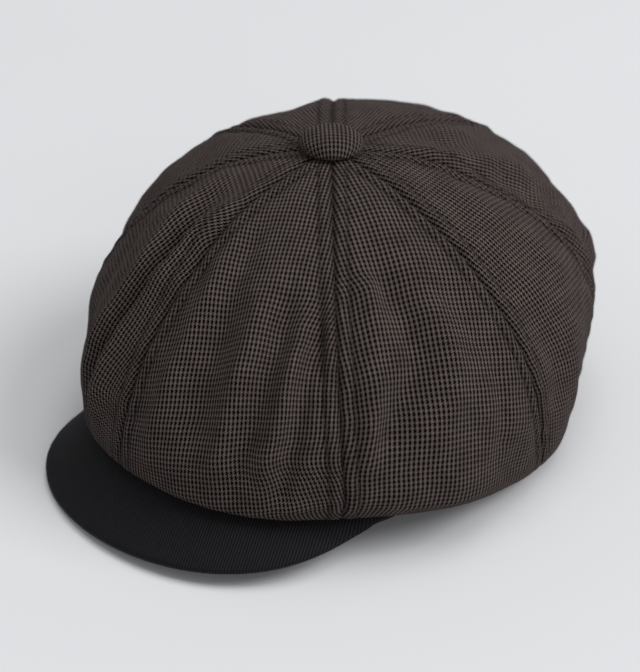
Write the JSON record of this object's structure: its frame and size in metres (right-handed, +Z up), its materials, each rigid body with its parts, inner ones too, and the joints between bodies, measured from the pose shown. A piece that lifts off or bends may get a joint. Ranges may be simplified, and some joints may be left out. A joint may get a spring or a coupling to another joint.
{
  "type": "newsboy cap",
  "caption": "Newsboy cap with a full panelled crown of houndstooth cloth, a covered top button, a lining, a folded sweatband and a short stiff black visor.",
  "frame": {"origin": "middle of the head opening, on the plane the cap rests on", "axes": "+Z up out of the crown, -Y forwards where the visor points, +X to the wearer's left"},
  "size_m": [0.2062, 0.2648, 0.1311],
  "materials": {
    "crown_cloth": "fine houndstooth weave in dark brown and pale grey, matte",
    "thread": "sewing thread",
    "lining_cloth": "black lining, slight sheen",
    "band_cloth": "black twill, matte",
    "interlining": "stiff non-woven",
    "elastic": "woven elastic",
    "label": "blank woven label",
    "visor_cloth": "black fine twill, matte",
    "visor_board": "moulded polyethylene",
    "button_metal": "plain pressed sheet"
  },
  "bodies": {
    "crown": {"crown_panel_front_left": "crown_cloth", "crown_panel_side_front_left": "crown_cloth", "crown_panel_side_rear_left": "crown_cloth", "crown_panel_rear_left": "crown_cloth", "crown_panel_rear_right": "crown_cloth", "crown_panel_side_rear_right": "crown_cloth", "crown_panel_side_front_right": "crown_cloth", "crown_panel_front_right": "crown_cloth", "crown_seam_thread": "thread", "lining_panel_front_left": "lining_cloth", "lining_panel_side_front_left": "lining_cloth", "lining_panel_side_rear_left": "lining_cloth", "lining_panel_rear_left": "lining_cloth", "lining_panel_rear_right": "lining_cloth", "lining_panel_side_rear_right": "lining_cloth", "lining_panel_side_front_right": "lining_cloth", "lining_panel_front_right": "lining_cloth", "sweatband": "band_cloth", "sweatband_interlining": "interlining", "rear_elastic": "elastic", "size_label": "label", "button_washer": "button_metal"},
    "visor": {"visor_top_cover": "visor_cloth", "visor_under_cover": "visor_cloth", "visor_board": "visor_board"},
    "button": {"button_fabric_cover": "crown_cloth", "button_shell": "button_metal", "button_back_plate": "button_metal", "button_shank": "button_metal"}
  },
  "joints": [
    {"name": "visor_tilt", "type": "hinge", "parent": "crown", "child": "visor", "pos_m": [0, -0.05, 0.0135], "axis": [-1, 0, 0], "range_deg": [-14, 0], "stiffness_Nm_per_rad": 0.4},
    {"name": "button_twist", "type": "hinge", "parent": "crown", "child": "button", "pos_m": [-0.0077, -0.0024, 0.1225], "axis": [0, 0, 1], "range_deg": [-30, 30], "stiffness_Nm_per_rad": 0.003}
  ]
}
